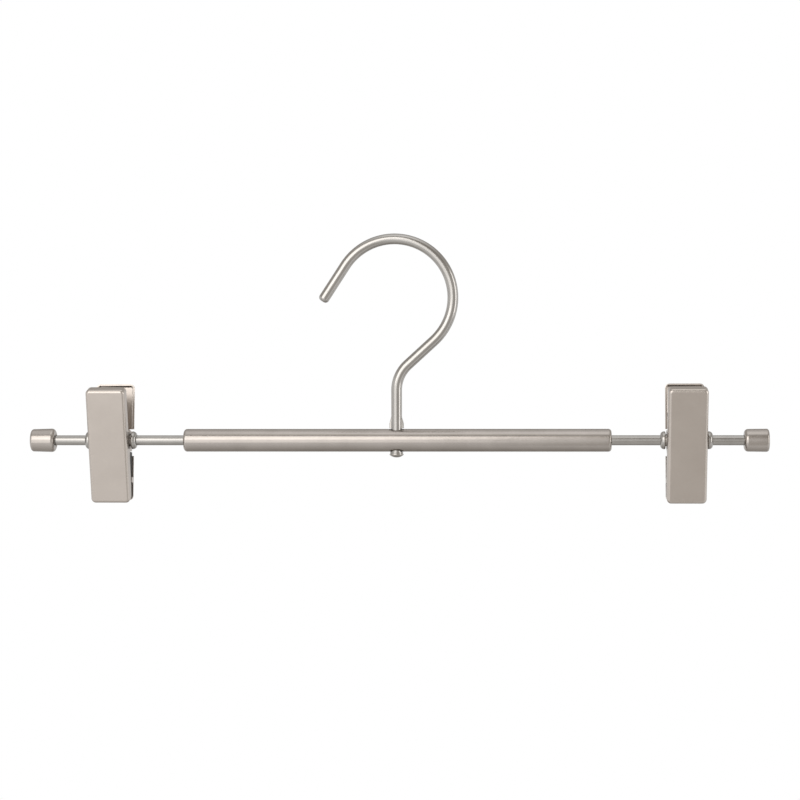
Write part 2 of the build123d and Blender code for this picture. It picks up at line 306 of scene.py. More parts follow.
def floor_material():
    material, tree = new_material("studio_floor")
    place = own_place(tree)
    dimmest = (0.0, floor_dim_back, bar_height - floor_drop)
    away = Signal.node(
        tree, "ShaderNodeVectorMath", {"operation": "DISTANCE"}, {0: place, 1: dimmest}, "Value"
    )
    fade = ramped(tree, away, floor_near, floor_far)
    from_bar = Signal.node(
        tree, "ShaderNodeVectorMath", {"operation": "SUBTRACT"}, {0: place, 1: (0.0, 0.0, bar_height)}
    )
    direction = Signal.node(tree, "ShaderNodeVectorMath", {"operation": "NORMALIZE"}, {0: from_bar})
    far_tone = dimmed_on_the_right(tree, direction, backdrop_tone)
    near = Signal.node(tree, "ShaderNodeBsdfDiffuse", None, {"Color": floor_tone})
    far = Signal.node(tree, "ShaderNodeEmission", None, {"Color": far_tone, "Strength": 1.0})
    close_material(tree, Signal.node(tree, "ShaderNodeMixShader", None, {0: fade, 1: near, 2: far}))
    return material


def build_floor():
    shape = bmesh.new()
    bmesh.ops.create_grid(shape, x_segments=1, y_segments=1, size=floor_half)
    bmesh.ops.translate(shape, verts=shape.verts, vec=(0, 0, bar_height - floor_drop))
    mesh = bpy.data.meshes.new("studio_floor")
    shape.to_mesh(mesh)
    shape.free()
    floor = bpy.data.objects.new("studio_floor", mesh)
    floor.data.materials.append(floor_material())
    bpy.context.scene.collection.objects.link(floor)


build_room()
build_floor()
bpy.context.scene.view_settings.view_transform = "Standard"
print("floor at", round(bar_height - floor_drop, 3))

# %% [markdown]
# ## The lamps
# One wide softbox stands in front and to the left, above the camera, and a weaker card of the same size
# below it. Both end just left of the lens, so the left half of the tube gets a long white band and the
# right half a duller one, as in the photograph. A narrow strip far to the right draws the thin light edge
# on the right of each upright wire, and a weak softbox overhead keeps the upper edges from going black.

# %% Lamps
lamp_distance = 1.3


def softbox(name, angle, rise, width, height, power, tint):
    """A rectangular lamp that faces the bar, placed by its angle from straight in front, to the right."""
    lamp = bpy.data.lights.new(name, "AREA")
    lamp.shape = "RECTANGLE"
    lamp.size = width
    lamp.size_y = height
    lamp.energy = power
    lamp.color = tint
    holder = bpy.data.objects.new(name, lamp)
    away = Vector((sin(angle) * cos(rise), -cos(angle) * cos(rise), sin(rise)))
    holder.location = Vector((0, 0, bar_height)) + away * lamp_distance
    holder.rotation_mode = "QUATERNION"
    holder.rotation_quaternion = away.to_track_quat("Z", "Y")
    holder.visible_camera = False
    bpy.context.scene.collection.objects.link(holder)


key_side = radians(-24.5)
key_rise = radians(25)
low_rise = radians(-9)
key_width = 1.15
key_height = 0.79
key_power = 5.3
low_power = 2.1
key_tint = (1.0, 0.993, 0.982)
softbox("key_softbox", key_side, key_rise, key_width, key_height, key_power, key_tint)
softbox("low_card", key_side, low_rise, key_width, key_height, low_power, key_tint)

strip_side = radians(72)
strip_rise = radians(10)
strip_width = 0.35
strip_height = 1.0
strip_power = 2.3
softbox("side_strip", strip_side, strip_rise, strip_width, strip_height, strip_power, key_tint)

top_side = radians(10)
top_rise = radians(78)
top_size = 0.7
top_power = 0.5
top_tint = (1.0, 1.0, 1.0)
softbox("top_softbox", top_side, top_rise, top_size, top_size, top_power, top_tint)
print("4 softboxes")

# %% [markdown]
# ## The finishes
# Satin nickel is a plated surface with a very fine, even grain and no lines in it. Under the grain
# the plate is never quite flat, so the reflections waver a little. Both are made from noise in real
# millimetres. Where a bend or a rim gets rubbed, the grain is polished away: an attribute on
# each mesh called rubbed says where, and the finish turns lighter and smoother there.

# %% Metal finishes
cloud_detail = 4.0
speck_detail = 2.0
grain_detail = 1.0
speck_size = 1.4 * mm
grain_size = 0.18 * mm
waver_height = 0.25 * mm
grain_height = 0.012 * mm
speck_share = 0.2
speck_rough_share = 0.6
patch_low = 0.3
patch_high = 0.7
polish_share = 0.5
polish_smooth = 0.05
polish_tone = linear("c4beb7")
edge_tint = (0.75, 0.75, 0.75, 1.0)


def rubbed_parts(tree):
    return Signal.node(tree, "ShaderNodeAttribute", {"attribute_name": "rubbed"}, None, "Fac")


def plated(name, light, dark, rough, rough_spread, cloud_size, waver=0.25, grain=0.35):
    """A satin metal plate: cloudy tone, fine grain, gentle waver, and polish where it is rubbed."""
    material, tree = new_material(name)
    cloud = noise(tree, cloud_size, cloud_detail)
    specks = noise(tree, speck_size, speck_detail)
    rubbed = rubbed_parts(tree)
    patch = ramped(tree, cloud * (1 - speck_share) + specks * speck_share, patch_low, patch_high)
    tone = mixed(tree, patch, linear(dark), linear(light))
    tone = mixed(tree, rubbed * polish_share, tone, polish_tone)
    uneven = cloud - 0.5 + speck_rough_share * (specks - 0.5)
    grains = noise(tree, grain_size, grain_detail)
    wavy = bumpy(tree, cloud, waver, waver_height)
    inputs = {
        "Base Color": tone,
        "Metallic": 1.0,
        "Roughness": rough + rough_spread * uneven - polish_smooth * rubbed,
        "Specular Tint": edge_tint,
        "Normal": bumpy(tree, grains, grain, grain_height, coarser=wavy),
    }
    close_material(tree, Signal.node(tree, "ShaderNodeBsdfPrincipled", None, inputs, "BSDF"))
    return material


satin_nickel = plated("satin_nickel", "aea7a1", "a49d97", rough=0.23, rough_spread=0.06, cloud_size=11 * mm)
wire_nickel = plated("wire_nickel", "aca9a5", "a29f9b", rough=0.19, rough_spread=0.06, cloud_size=8 * mm)
jaw_nickel = plated(
    "jaw_nickel", "bdb4ac", "b7aea6", rough=0.30, rough_spread=0.05, cloud_size=16 * mm, waver=0.3
)
bare = {"waver": 0.2, "grain": 0.5}
sleeve_steel = plated(
    "sleeve_steel", "b9b4ae", "a19c97", rough=0.28, rough_spread=0.08, cloud_size=5 * mm, **bare
)
drawn = {"waver": 0.2, "grain": 0.6}
spring_steel = plated(
    "spring_steel", "a8a5a1", "85827e", rough=0.26, rough_spread=0.10, cloud_size=3 * mm, **drawn
)
print("5 metal finishes")

# %% [markdown]
# ## Rubber and nylon
# The grip pads are moulded rubber: nearly black, dull, with a faint dusty bloom and a fine stipple from
# the mould. The bushes inside the tube are dark nylon, smoother and a little waxy. Neither is a metal,
# so their colour comes from the diffuse part and the gloss from a plain roughness.

# %% Rubber and nylon
bloom_size = 6 * mm
bloom_detail = 5.0
bloom_rough = 0.15
stipple_detail = 2.0
rubbed_bloom = 0.4


def moulded(name, light, dark, rough, dent_size, dent_depth, dents):
    """A moulded plastic or rubber with a soft bloom and a fine stipple."""
    material, tree = new_material(name)
    bloom = noise(tree, bloom_size, bloom_detail)
    stipple = noise(tree, dent_size, stipple_detail)
    inputs = {
        "Base Color": mixed(tree, bloom + rubbed_bloom * rubbed_parts(tree), linear(dark), linear(light)),
        "Roughness": rough + bloom_rough * (bloom - 0.5),
        "Normal": bumpy(tree, stipple, dents, dent_depth),
    }
    close_material(tree, Signal.node(tree, "ShaderNodeBsdfPrincipled", None, inputs, "BSDF"))
    return material


pad_rubber = moulded(
    "pad_rubber", "3a3836", "1d1c1b", rough=0.62, dent_size=0.25 * mm, dent_depth=0.03 * mm, dents=0.6
)
plug_nylon = moulded(
    "plug_nylon", "858583", "7b7b79", rough=0.42, dent_size=0.6 * mm, dent_depth=0.02 * mm, dents=0.3
)
print("rubber and nylon")

# %% [markdown]
# ## From a bmesh to a dressed piece
# Every piece goes the same way: its bmesh becomes a mesh, its rubbed edges are marked, it gets a finish,
# it is parented to the body it moves with where it has one, and the pieces of the frame that it stands for
# are hidden. Marking the rubbed edges here means that no piece can be forgotten: a vertex is rubbed as far
# as the surface bends outwards there.
#
# Flat faces beside round bends shade wrongly if all normals are averaged alike. The Weighted Normal
# modifier lets the large flat faces win, as the metal itself would look.

# %% Dress a piece
full_rub_bend = radians(22)
sharp_bend = radians(50)
rim_steps = 2


def mark_rubbed(shape):
    """Writes how sharply the surface bends outwards at each vertex."""
    rubbed = shape.verts.layers.float.new("rubbed")
    for vertex in shape.verts:
        bends = [edge.calc_face_angle_signed(0) for edge in vertex.link_edges if len(edge.link_faces) == 2]
        vertex[rubbed] = min(1.0, max(0.0, max(bends, default=0) / full_rub_bend) ** 2)


def dress(name, shape, body, finish, replaced, rim_bevel=0):
    """Makes the object, finishes its edges, ties it to its body, and hides the nodes it stands for."""
    mark_rubbed(shape)
    mesh = bpy.data.meshes.new(name)
    shape.to_mesh(mesh)
    shape.free()
    mesh.shade_smooth()
    mesh.materials.append(finish)
    piece = bpy.data.objects.new(name, mesh)
    bpy.context.scene.collection.objects.link(piece)
    if rim_bevel:
        bevel = piece.modifiers.new("rim", "BEVEL")
        bevel.width = rim_bevel
        bevel.segments = rim_steps
        bevel.limit_method = "ANGLE"
        bevel.angle_limit = sharp_bend
    weigh = piece.modifiers.new("flat_faces_win", "WEIGHTED_NORMAL")
    weigh.keep_sharp = True
    if body:
        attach(piece, body)
    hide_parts(*replaced)
    size = [round(v / mm, 1) for v in piece.dimensions]
    print(name, "has", len(mesh.polygons), "faces and measures", size)
    return piece


print("dress ready")

# %% [markdown]
# ## Round pieces by spinning an outline
# The tube, rods, caps, sleeves and bushes were all turned or rolled, so each is an outline spun round
# the bar. The outline is a few points; its corners are rounded with a vertex bevel before the spin, which
# keeps the rounding a size and not a row of points.

# %% Spun pieces
round_steps = 96
corner_steps = 6
weld = 0.001 * mm


def chain(shape, points, closed):
    """A row of vertices joined by edges, given as (x, radius)."""
    corners = [shape.verts.new((x, 0, radius)) for x, radius in points]
    for first, second in zip(corners, corners[1:]):
        shape.edges.new((first, second))
    if closed:
        shape.edges.new((corners[-1], corners[0]))
    return corners


def round_off(shape, geometry, size, segments, affect="EDGES"):
    """Rounds edges, or with VERTICES the corners of an outline."""
    bmesh.ops.bevel(
        shape,
        geom=geometry,
        offset=size,
        offset_type="OFFSET",
        segments=segments,
        profile=0.5,
        affect=affect,
        clamp_overlap=True,
        material=-1,
    )


def spun(points, roundings, closed=False, axis=(1, 0, 0)):
    """Spins an outline with some rounded corners into a closed, outward-facing shape."""
    shape = bmesh.new()
    corners = chain(shape, points, closed)
    for index, size in roundings.items():
        round_off(shape, [corners[index]], size, corner_steps, "VERTICES")
    bmesh.ops.spin(
        shape,
        geom=shape.verts[:] + shape.edges[:],
        cent=(0, 0, 0),
        axis=axis,
        dvec=(0, 0, 0),
        angle=2 * pi,
        steps=round_steps,
        use_merge=True,
        use_duplicate=False,
    )
    bmesh.ops.remove_doubles(shape, verts=shape.verts, dist=weld)
    bmesh.ops.recalc_face_normals(shape, faces=shape.faces)
    return shape


def raise_to_bar(shape):
    """Moves a shape modelled round the origin to the bar's axis."""
    bmesh.ops.translate(shape, verts=shape.verts, vec=(0, 0, bar_height))
    return shape


print("spinning ready")

# %% [markdown]
# ## The bar
# The middle tube has a thin wall, and its ends are rolled in until they nearly touch the rods. Drawing the
# wall as a closed outline and spinning it once gives the outside, the rolled ends and the hollow inside in
# one shape. The hook's hole is then cut straight down through it. A boolean is the plain way to do that,
# but it leaves long thin faces that shade badly, so two rings are cut first to keep them short.

# %% Centre tube
tube_wall = 0.9 * mm
tube_end_round = 1.6 * mm
tube_mouth_gap = 0.2 * mm
hole_gap = 0.06 * mm
hole_margin = 4.5 * mm
wire_radius = 2.7 * mm


def cut_away(shape, cutter):
    """Cuts one closed shape out of another."""
    made = []
    for name, part in (("kept_part", shape), ("cutter_part", cutter)):
        mesh = bpy.data.meshes.new(name)
        part.to_mesh(mesh)
        part.free()
        made.append(bpy.data.objects.new(name, mesh))
        bpy.context.scene.collection.objects.link(made[-1])
    boolean = made[0].modifiers.new("cut", "BOOLEAN")
    boolean.operation = "DIFFERENCE"
    boolean.solver = "EXACT"
    boolean.object = made[1]
    result = bmesh.new()
    result.from_object(made[0], bpy.context.evaluated_depsgraph_get())
    for part in made:
        bpy.data.objects.remove(part)
    return result


def everything(shape):
    return shape.verts[:] + shape.edges[:] + shape.faces[:]


def tube_shape():
    mouth = rod_radius + tube_mouth_gap
    inner = tube_radius - tube_wall
    inner_half = tube_half - tube_wall
    inner_round = tube_end_round - tube_wall
    wall = [
        (-tube_half, mouth),
        (-tube_half, tube_radius),
        (tube_half, tube_radius),
        (tube_half, mouth),
        (inner_half, mouth),
        (inner_half, inner),
        (-inner_half, inner),
        (-inner_half, mouth),
    ]
    shape = spun(wall, {1: tube_end_round, 2: tube_end_round, 5: inner_round, 6: inner_round}, closed=True)
    for place in (-hole_margin, hole_margin):
        bmesh.ops.bisect_plane(
            shape, geom=everything(shape), dist=weld, plane_co=(place, 0, 0), plane_no=(1, 0, 0)
        )
    drill = bmesh.new()
    bmesh.ops.create_cone(
        drill,
        cap_ends=True,
        segments=round_steps // 2,
        radius1=wire_radius + hole_gap,
        radius2=wire_radius + hole_gap,
        depth=4 * tube_radius,
    )
    return cut_away(shape, drill)


tube = raise_to_bar(tube_shape())
dress("centre_tube_shell", tube, "crossbar", satin_nickel, ["centre_tube"])

# %% [markdown]
# ## Rods, caps and bushes
# A rod is a plain drawn wire, so its ends are only just rounded. A cap is a small cup pressed
# on the rod: its closed end is faintly domed, its rim is round, and it swells or narrows a little along
# its length, as pressed cups do. The bushes inside the tube hold the rods in its middle.

# %% Rods, caps and bushes
rod_end_round = 0.4 * mm
cap_end_round = 1.2 * mm
cap_shoulder_round = 1.9 * mm
cap_bore_depth = 9.4 * mm
cap_dome = 0.25 * mm
cap_dome_share = 0.6
press_gap = 0.03 * mm
bush_chamfer = 0.5 * mm
cap_end_swell = {"left": -0.15 * mm, "right": 0}
cap_shoulder_swell = {"left": 0.2 * mm, "right": -0.15 * mm}


def reach(node):
    """A round piece's stations along the bar and its radius, from the frame."""
    low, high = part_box(node)
    return low.x, high.x, (high.z - low.z) / 2


def rod_shape(side):
    start, end, radius = reach(side + "_rod")
    line = [(start, 0), (start, radius), (end, radius), (end, 0)]
    return spun(line, {1: rod_end_round, 2: rod_end_round})


def cap_shape(side):
    low, high, radius = reach(side + "_end_cap")
    end, shoulder = (high, low) if side == "right" else (low, high)
    inward = -1 if side == "right" else 1
    bore = rod_radius + press_gap
    bore_end = shoulder - inward * cap_bore_depth
    end_radius = radius + cap_end_swell[side]
    cup = [
        (end, 0),
        (end + inward * cap_dome / 3, end_radius * cap_dome_share),
        (end + inward * cap_dome, end_radius),
        (shoulder, radius + cap_shoulder_swell[side]),
        (shoulder, bore),
        (bore_end, bore),
        (bore_end, 0),
    ]
    return spun(cup, {2: cap_end_round, 3: cap_shoulder_round})


def bush_shape(side):
    start, end, radius = reach(side + "_tube_plug")
    bore = rod_radius + press_gap
    ring = [(start, bore), (start, radius), (end, radius), (end, bore)]
    return spun(ring, {1: bush_chamfer, 2: bush_chamfer}, closed=True)


for side in both_sides:
    rod, cap, bush = [raise_to_bar(made(side)) for made in (rod_shape, cap_shape, bush_shape)]
    dress(side + "_rod_wire", rod, "crossbar", wire_nickel, [side + "_rod"])
    dress(side + "_cap_cup", cap, "crossbar", satin_nickel, [side + "_end_cap"])
    dress(side + "_bush", bush, "crossbar", plug_nylon, [side + "_tube_plug"])

# %% [markdown]
# ## Wire that is bent, not modelled
# The hook and the springs are wire, and they are made as a wire former makes them: a ring runs straight
# for a length, turns round a centre by an angle, and runs on. Extruding a ring gives the
# straight runs and the spin operator gives the bends, with a climb for the coils.

# %% Wire former
def wire_ring(shape, place, heading, radius, sides):
    """The first ring of a wire, square to the way it heads."""
    facing = heading.to_track_quat("Z", "Y").to_matrix().to_4x4()
    made = bmesh.ops.create_circle(
        shape, cap_ends=False, segments=sides, radius=radius, matrix=Matrix.Translation(place) @ facing
    )
    return list({edge for vertex in made["verts"] for edge in vertex.link_edges})


def ring_verts(ring):
    return list({vertex for edge in ring for vertex in edge.verts})


def verts_of(made):
    """The vertices among what an operator made."""
    return [part for part in made["geom"] if isinstance(part, bmesh.types.BMVert)]


def run_on(shape, ring, move):
    """Runs the wire straight on by a vector and returns its new end ring."""
    new_verts = verts_of(bmesh.ops.extrude_edge_only(shape, edges=ring))
    bmesh.ops.translate(shape, verts=new_verts, vec=move)
    fresh = set(new_verts)
    touching = {edge for vertex in new_verts for edge in vertex.link_edges}
    return [edge for edge in touching if fresh.issuperset(edge.verts)]


def bend_on(shape, ring, centre, axis, angle, steps, climb=0):
    """Bends the wire round an axis through a centre, climbing along the axis as it goes."""
    made = bmesh.ops.spin(
        shape,
        geom=ring_verts(ring) + ring,
        cent=centre,
        axis=axis,
        dvec=Vector(axis) * (climb / steps),
        angle=angle,
        steps=steps,
        use_duplicate=False,
    )
    return [part for part in made["geom_last"] if isinstance(part, bmesh.types.BMEdge)]


def close_end(shape, ring, rounding, segments):
    """Caps a wire's end and rounds the cap's rim."""
    made = bmesh.ops.contextual_create(shape, geom=ring)
    round_off(shape, list(made["faces"][0].edges), rounding, segments)


print("wire former ready")

# %% [markdown]
# ## The hook
# The hook is one round wire. It starts under the tube in a peened head, goes up through the tube, leans
# right, sweeps over in a large loop, and ends in a short straight tip with a round end. Just above the
# tube the wire is pinched into two small wings that keep the hook from dropping through. The wings are
# pulled out of the wire's own faces, so wire and wings stay one skin, as they are on the real hook.

# %% Hook sizes
loop_radius = 29.3 * mm
loop_offset = -1.15 * mm
loop_turn = radians(194.6)
neck_radius = 17.2 * mm
neck_turn = radians(47.6)
tip_length = 21.1 * mm
tip_round_share = 0.7
tip_steps = 8
wire_sides = 32
loop_steps = 72
neck_steps = 18
wing_gap = 0.3 * mm
wing_span = 7.3 * mm
wing_height = 5.6 * mm
wing_shoulder = 2.4 * mm
wing_facing = 0.93
hook_rim = 0.12 * mm
head_radius = 3.55 * mm
head_height = 1.8 * mm
head_rim = 0.5 * mm
head_steps = 6
washer_round = 0.15 * mm

washer_low, washer_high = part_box("hook_washer")
head_top = washer_low.z
loop_height = -bar_height - sqrt((loop_radius - wire_radius) ** 2 - loop_offset ** 2)
neck_side = neck_radius * (1 - cos(neck_turn))
lean_length = (loop_offset + loop_radius * cos(neck_turn) - neck_side) / sin(neck_turn)
neck_rise = (neck_radius + loop_radius) * sin(neck_turn) + lean_length * cos(neck_turn)
shank_top = bar_height + loop_height - neck_rise
print("loop centre is", round(loop_height / mm, 2), "mm above the bar")
print("straight lean between neck and loop", round(lean_length / mm, 2), "mm")


# %% Hook shape
def spread(shape, ring, share, drop):
    """Grows a ring's next row outwards or inwards and down, for the head."""
    ring = run_on(shape, ring, (0, 0, -drop))
    bmesh.ops.scale(shape, vec=(share, share, 1), verts=ring_verts(ring))
    return ring


def peen_head(shape, ring):
    """Spreads the wire's lower end into a flat-topped, domed head."""
    ring = spread(shape, ring, head_radius / wire_radius, 0)
    ring = spread(shape, ring, 1, head_rim)
    dome_height = head_height - head_rim
    dome_radius = (head_radius ** 2 + dome_height ** 2) / (2 * dome_height)
    dome_angle = asin(head_radius / dome_radius)
    for step in range(1, head_steps):
        before = dome_angle * (1 - (step - 1) / head_steps)
        after = dome_angle * (1 - step / head_steps)
        ring = spread(shape, ring, sin(after) / sin(before), dome_radius * (cos(after) - cos(before)))
    bmesh.ops.contextual_create(shape, geom=ring)


def pull_wings(shape, foot):
    """Pulls the wire's side faces out into two wings that slope back to it at their top."""
    top = foot + wing_height
    shape.normal_update()
    for side in (-1, 1):
        faces = [
            face
            for face in shape.faces
            if foot < face.calc_center_median().z < top and side * face.normal.x > wing_facing
        ]
        made = bmesh.ops.extrude_face_region(shape, geom=faces)
        pulled = [vertex for vertex in verts_of(made) if vertex.co.z < top - weld]
        bmesh.ops.translate(shape, verts=pulled, vec=(side * (wing_span / 2 - wire_radius), 0, 0))
        bmesh.ops.delete(shape, geom=[face for face in faces if face.is_valid], context="FACES")
    bmesh.ops.remove_doubles(shape, verts=shape.verts, dist=weld)


def hook_shape():
    shape = bmesh.new()
    up = Vector((0, 0, 1))
    foot = bar_height + tube_radius + wing_gap
    start = wire_ring(shape, Vector((0, 0, head_top)), up, wire_radius, wire_sides)
    ring = start
    height = head_top
    for next_height in (foot, foot + wing_shoulder, foot + wing_height, shank_top):
        ring = run_on(shape, ring, (0, 0, next_height - height))
        height = next_height
    ring = bend_on(shape, ring, (neck_radius, 0, shank_top), (0, 1, 0), neck_turn, neck_steps)
    heading = Vector((sin(neck_turn), 0, cos(neck_turn)))
    ring = run_on(shape, ring, heading * lean_length)
    ring = bend_on(
        shape, ring, (loop_offset, 0, bar_height + loop_height), (0, 1, 0), -loop_turn, loop_steps
    )
    heading = Vector((sin(neck_turn - loop_turn), 0, cos(neck_turn - loop_turn)))
    ring = run_on(shape, ring, heading * tip_length)
    close_end(shape, ring, wire_radius * tip_round_share, tip_steps)
    peen_head(shape, start)
    pull_wings(shape, foot)
    bmesh.ops.recalc_face_normals(shape, faces=shape.faces)
    return shape


def washer_shape():
    outer = (washer_high.x - washer_low.x) / 2
    inner = wire_radius + press_gap
    ring = [(inner, washer_low.z), (outer, washer_low.z), (outer, washer_high.z), (inner, washer_high.z)]
    return spun(ring, {1: washer_round, 2: washer_round}, closed=True, axis=(0, 0, 1))


dress("hook_wire", hook_shape(), "hook_set", wire_nickel, ["hook"], rim_bevel=hook_rim)
dress("hook_flat_washer", washer_shape(), "hook_set", wire_nickel, ["hook_washer"])

# %% [markdown]
# ## The clips
# Each clip is two pressed steel jaws that turn on a thin sleeve, a spring that closes them, and a rubber
# pad in each jaw. A jaw is modelled upright, with its plate square to the front, as one half of its outer
# skin: a few faces whose edges are then bevelled by the sizes that the press gives, a bend of
# 1.6 mm and corners of 2.2 mm. Mirroring gives the other half, and a Solidify modifier gives the skin
# the thickness of the sheet. Only then is the jaw leaned back, so that the pair opens upwards in a V.

# %% Clip sizes
clip_tilt = radians(5.5)
jaw_lean = radians(10)
jaw_half = 9.8 * mm
jaw_stand_off = 11 * mm
jaw_up = 29 * mm
jaw_down = 29.8 * mm
jaw_sheet = 0.8 * mm
jaw_bend = 1.6 * mm
jaw_corner = 2.2 * mm
ear_radius = 5 * mm
ear_steps = 48
sleeve_gap = 0.06 * mm
sheet_rim = 0.12 * mm
press_steps = 7
front_facing = -1
rear_facing = 1
sleeve_low, sleeve_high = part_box("left_clip_sleeve")
sleeve_radius = (sleeve_high.z - sleeve_low.z) / 2
pivot_hole = sleeve_radius + sleeve_gap
print("sleeve radius", round(sleeve_radius, 5))


# %% Clip helpers
def middle_line(height, gap, facing):
    """How far forward or back a line lies that keeps a gap from the clip's middle, before the jaw leans."""
    return facing * (gap - height * sin(jaw_lean)) / cos(jaw_lean)


def ear_face(shape, across):
    """A round face of the ear's size, square to the pivot, and its ring of vertices."""
    place = Matrix.Translation((across, 0, 0)) @ Matrix.Rotation(pi / 2, 4, "Y")
    made = bmesh.ops.create_circle(
        shape, cap_ends=True, segments=ear_steps, radius=ear_radius, matrix=place
    )
    return made["verts"], made["verts"][0].link_faces[0]


def ring_part(ring, first, last):
    """A ring's vertices between two angles, in order of angle, measured from the rear side upwards."""
    slack = pi / ear_steps
    found = {}
    for vertex in ring:
        angle = atan2(vertex.co.z, vertex.co.y)
        turned = first - slack + (angle - first + slack) % (2 * pi)
        if turned <= last + slack:
            found[turned] = vertex
    return [found[turned] for turned in sorted(found)]


def edges_between(vertices):
    """The edges along a row of vertices."""
    pairs = zip(vertices, vertices[1:])
    return [next(e for e in first.link_edges if second in e.verts) for first, second in pairs]


def edges_at(shape, axis, value, faces=2):
    """The edges that lie at a value on an axis: between two faces, or with faces=1 on an open rim."""
    return [
        edge
        for edge in shape.edges
        if len(edge.link_faces) == faces and all(abs(v.co[axis] - value) < weld for v in edge.verts)
    ]


def open_pivot(shape, ear):
    """Opens the pivot hole in an ear's round face."""
    bmesh.ops.inset_region(
        shape, faces=[ear], thickness=ear_radius - pivot_hole, use_even_offset=True, use_boundary=True
    )
    bmesh.ops.delete(shape, geom=[ear], context="FACES")


def pull(shape, edges, move):
    """Extrudes edges by a vector and returns the new vertices."""
    new_verts = verts_of(bmesh.ops.extrude_edge_only(shape, edges=edges))
    bmesh.ops.translate(shape, verts=new_verts, vec=move)
    return new_verts


def both_halves(shape, outward):
    """Mirrors a half skin, welds it, and points its faces outwards, checked on the plate."""
    bmesh.ops.mirror(
        shape, geom=everything(shape), matrix=Matrix.Identity(4), merge_dist=weld, axis="X"
    )
    bmesh.ops.remove_doubles(shape, verts=shape.verts, dist=weld)
    bmesh.ops.recalc_face_normals(shape, faces=shape.faces)
    plate = max(shape.faces, key=lambda face: face.calc_area())
    if plate.normal.y * outward < 0:
        bmesh.ops.reverse_faces(shape, faces=shape.faces)
    return shape


def hang(shape, side, facing=0):
    """Leans a jaw's piece, tilts it as the clip hangs, and moves it to its clip's place."""
    turned = Matrix.Rotation(clip_tilt - facing * jaw_lean, 4, "X")
    bmesh.ops.transform(shape, matrix=Matrix.Translation(clip_places[side]) @ turned, verts=shape.verts)
    return shape


def dress_sheet(name, shape, body, replaced):
    """Dresses a pressed jaw: the skin gets the sheet's thickness, inwards, before its rim is rounded."""
    piece = dress(name, shape, body, jaw_nickel, replaced, rim_bevel=sheet_rim)
    solid = piece.modifiers.new("sheet", "SOLIDIFY")
    solid.thickness = jaw_sheet
    solid.offset = -1
    solid.use_even_offset = True
    solid.use_quality_normals = True
    piece.modifiers.move(len(piece.modifiers) - 1, 0)
    return piece


# %% [markdown]
# ## The front jaw
# The front jaw is a pan. Its side walls swell into round ears at the pivot and are cut back along the
# clip's middle at the bottom, where the two jaws close on the cloth. The wall flares into the ear above
# and below, so those two corners of the outline are rounded before anything is folded.

# %% Front jaw
front_depth = 6.2 * mm
front_gap = 0.9 * mm
ear_flare = 3 * mm


def front_jaw_skin():
    shape = bmesh.new()
    ring, ear = ear_face(shape, jaw_half)
    edge = front_depth - jaw_stand_off
    ear_step = 2 * pi / ear_steps
    root = ear_radius * cos(ear_step)
    knee_height = (front_gap + edge * cos(jaw_lean)) / sin(jaw_lean)
    outline = [
        (-jaw_stand_off, -jaw_down),
        (-jaw_stand_off, jaw_up),
        (edge, jaw_up),
        (edge, root),
        (edge, -root),
        (edge, knee_height),
        (middle_line(-jaw_down, front_gap, front_facing), -jaw_down),
    ]
    corners = [shape.verts.new((jaw_half, y, z)) for y, z in outline]
    front_low, front_high, edge_high, upper_root, lower_root, knee, edge_low = corners
    arc = ring_part(ring, pi / 2 + ear_step, 3 * pi / 2 - ear_step)
    shape.faces.new([front_low, front_high, edge_high, upper_root] + arc + [lower_root, knee, edge_low])
    for corner in (upper_root, lower_root):
        round_off(shape, [corner], ear_flare, corner_steps, "VERTICES")
    bmesh.ops.recalc_face_normals(shape, faces=shape.faces)
    open_pivot(shape, ear)
    folds = edges_between([edge_high, front_high, front_low, edge_low])
    pull(shape, folds, (-jaw_half, 0, 0))
    round_off(shape, [folds[0], folds[2]], jaw_corner, press_steps)
    round_off(shape, edges_at(shape, 1, -jaw_stand_off), jaw_bend, corner_steps)
    return both_halves(shape, front_facing)


for side in both_sides:
    dress_sheet(
        side + "_front_jaw_sheet",
        hang(front_jaw_skin(), side, front_facing),
        side + "_clip_front",
        [side + "_front_jaw"],
    )

# %% [markdown]
# ## The rear jaw
# The rear jaw is the same plate with low walls. At the pivot the plate narrows to a waist, and two ears
# fold inwards from it and sit inside the front jaw's ears. Low on each wall is a small tab that
# closes the side of the slot beside the pad. The plate is cut by planes and the walls, ears
# and tabs are pulled from its edges.

# %% Rear jaw
rear_depth = 2 * mm
ear_gap = 0.25 * mm
ear_half = jaw_half - jaw_sheet - ear_gap
waist_up = 6.2 * mm
waist_down = 7.4 * mm
tab_height = 2.7 * mm
tab_depth = 6.8 * mm
tab_drop = 19.6 * mm


def reach_along(edge, axis):
    """How far an edge reaches along an axis."""
    return abs(edge.verts[0].co[axis] - edge.verts[1].co[axis])


def slice_at(shape, geometry, place, normal):
    bmesh.ops.bisect_plane(shape, geom=geometry, dist=weld, plane_co=place, plane_no=normal)


def in_waist(face):
    return -waist_down < face.calc_center_median().z < waist_up


def band(shape):
    """The faces at the waist's height, with their edges and vertices."""
    faces = [face for face in shape.faces if in_waist(face)]
    edges = {edge for face in faces for edge in face.edges}
    vertices = {vertex for face in faces for vertex in face.verts}
    return list(vertices) + list(edges) + faces


